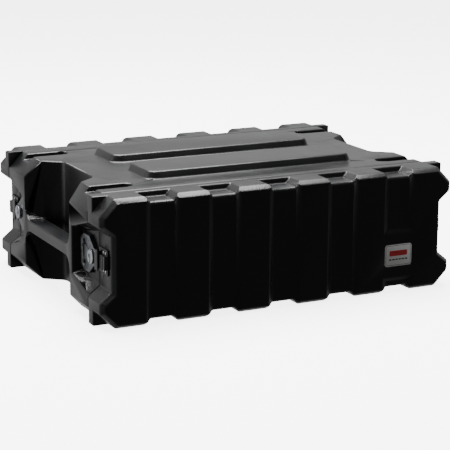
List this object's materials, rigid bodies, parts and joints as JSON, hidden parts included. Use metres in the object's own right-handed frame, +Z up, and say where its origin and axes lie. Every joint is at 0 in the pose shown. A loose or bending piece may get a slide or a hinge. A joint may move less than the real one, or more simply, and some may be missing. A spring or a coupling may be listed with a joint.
{
  "type": "equipment rack case",
  "caption": "Moulded rack case with pull-off front and rear lids, turning latches, side carrying bars and rack rails inside.",
  "frame": {"origin": "middle of the underside", "axes": "+X along the width, -Y towards the front lid, +Z up"},
  "size_m": [0.61, 0.454, 0.21],
  "materials": {
    "shell_polyethylene": "moulded, fine texture",
    "gasket_foam": "closed-cell foam",
    "plate_white": "printed polycarbonate",
    "latch_zinc": "zinc plated, satin",
    "hub_zinc": "zinc plated, satin",
    "black_steel": "black powder coat",
    "rivet_steel": "plain",
    "fastener_steel": "zinc plated",
    "rail_steel": "black paint"
  },
  "bodies": {
    "shell": {"body_shell": "shell_polyethylene", "front_left_rack_rail": "rail_steel", "front_left_latch_plate": "latch_zinc", "front_left_latch_bolts": "fastener_steel", "front_left_latch_nuts": "fastener_steel", "front_right_rack_rail": "rail_steel", "front_right_latch_plate": "latch_zinc", "front_right_latch_bolts": "fastener_steel", "front_right_latch_nuts": "fastener_steel", "rear_left_rack_rail": "rail_steel", "rear_left_latch_plate": "latch_zinc", "rear_left_latch_bolts": "fastener_steel", "rear_left_latch_nuts": "fastener_steel", "rear_right_rack_rail": "rail_steel", "rear_right_latch_plate": "latch_zinc", "rear_right_latch_bolts": "fastener_steel", "rear_right_latch_nuts": "fastener_steel"},
    "front_lid": {"front_lid": "shell_polyethylene", "front_gasket": "gasket_foam", "name_plate": "plate_white", "front_left_keeper": "black_steel", "front_left_keeper_rivets": "rivet_steel", "front_right_keeper": "black_steel", "front_right_keeper_rivets": "rivet_steel"},
    "rear_lid": {"rear_lid": "shell_polyethylene", "rear_gasket": "gasket_foam", "rear_left_keeper": "black_steel", "rear_left_keeper_rivets": "rivet_steel", "rear_right_keeper": "black_steel", "rear_right_keeper_rivets": "rivet_steel"},
    "front_left_rotor": {"front_left_latch_rotor": "hub_zinc", "front_left_latch_wing_pin": "fastener_steel"},
    "front_left_wing": {"front_left_latch_wing": "hub_zinc"},
    "front_left_hook": {"front_left_latch_hook": "black_steel"},
    "front_right_rotor": {"front_right_latch_rotor": "hub_zinc", "front_right_latch_wing_pin": "fastener_steel"},
    "front_right_wing": {"front_right_latch_wing": "hub_zinc"},
    "front_right_hook": {"front_right_latch_hook": "black_steel"},
    "rear_left_rotor": {"rear_left_latch_rotor": "hub_zinc", "rear_left_latch_wing_pin": "fastener_steel"},
    "rear_left_wing": {"rear_left_latch_wing": "hub_zinc"},
    "rear_left_hook": {"rear_left_latch_hook": "black_steel"},
    "rear_right_rotor": {"rear_right_latch_rotor": "hub_zinc", "rear_right_latch_wing_pin": "fastener_steel"},
    "rear_right_wing": {"rear_right_latch_wing": "hub_zinc"},
    "rear_right_hook": {"rear_right_latch_hook": "black_steel"}
  },
  "joints": [
    {"name": "front_lid_pull", "type": "slide", "parent": "shell", "child": "front_lid", "axis": [0, -1, 0], "range_m": [0, 0.13]},
    {"name": "rear_lid_pull", "type": "slide", "parent": "shell", "child": "rear_lid", "axis": [0, 1, 0], "range_m": [0, 0.13]},
    {"name": "front_left_turn", "type": "hinge", "parent": "shell", "child": "front_left_rotor", "pos_m": [-0.2926, -0.1599, 0.099], "axis": [-1, 0, 0], "range_deg": [0, 180]},
    {"name": "front_left_fold", "type": "hinge", "parent": "front_left_rotor", "child": "front_left_wing", "pos_m": [-0.29515, -0.1599, 0.099], "axis": [0, 0, 1], "range_deg": [0, 90]},
    {"name": "front_left_draw", "type": "slide", "parent": "shell", "child": "front_left_hook", "axis": [0.5, 0.866, 0], "range_m": [0, 0.004]},
    {"name": "front_right_turn", "type": "hinge", "parent": "shell", "child": "front_right_rotor", "pos_m": [0.2926, -0.1599, 0.099], "axis": [1, 0, 0], "range_deg": [0, 180]},
    {"name": "front_right_fold", "type": "hinge", "parent": "front_right_rotor", "child": "front_right_wing", "pos_m": [0.29515, -0.1599, 0.099], "axis": [0, 0, -1], "range_deg": [0, 90]},
    {"name": "front_right_draw", "type": "slide", "parent": "shell", "child": "front_right_hook", "axis": [-0.5, 0.866, 0], "range_m": [0, 0.004]},
    {"name": "rear_left_turn", "type": "hinge", "parent": "shell", "child": "rear_left_rotor", "pos_m": [-0.2926, 0.1599, 0.099], "axis": [-1, 0, 0], "range_deg": [0, 180]},
    {"name": "rear_left_fold", "type": "hinge", "parent": "rear_left_rotor", "child": "rear_left_wing", "pos_m": [-0.29515, 0.1599, 0.099], "axis": [0, 0, -1], "range_deg": [0, 90]},
    {"name": "rear_left_draw", "type": "slide", "parent": "shell", "child": "rear_left_hook", "axis": [0.5, -0.866, 0], "range_m": [0, 0.004]},
    {"name": "rear_right_turn", "type": "hinge", "parent": "shell", "child": "rear_right_rotor", "pos_m": [0.2926, 0.1599, 0.099], "axis": [1, 0, 0], "range_deg": [0, 180]},
    {"name": "rear_right_fold", "type": "hinge", "parent": "rear_right_rotor", "child": "rear_right_wing", "pos_m": [0.29515, 0.1599, 0.099], "axis": [0, 0, 1], "range_deg": [0, 90]},
    {"name": "rear_right_draw", "type": "slide", "parent": "shell", "child": "rear_right_hook", "axis": [-0.5, -0.866, 0], "range_m": [0, 0.004]}
  ],
  "couplings": [
    {"joint": "front_left_turn", "follows": "front_left_draw", "rad_per_m": 785},
    {"joint": "front_right_turn", "follows": "front_right_draw", "rad_per_m": 785},
    {"joint": "rear_left_turn", "follows": "rear_left_draw", "rad_per_m": 785},
    {"joint": "rear_right_turn", "follows": "rear_right_draw", "rad_per_m": 785}
  ]
}
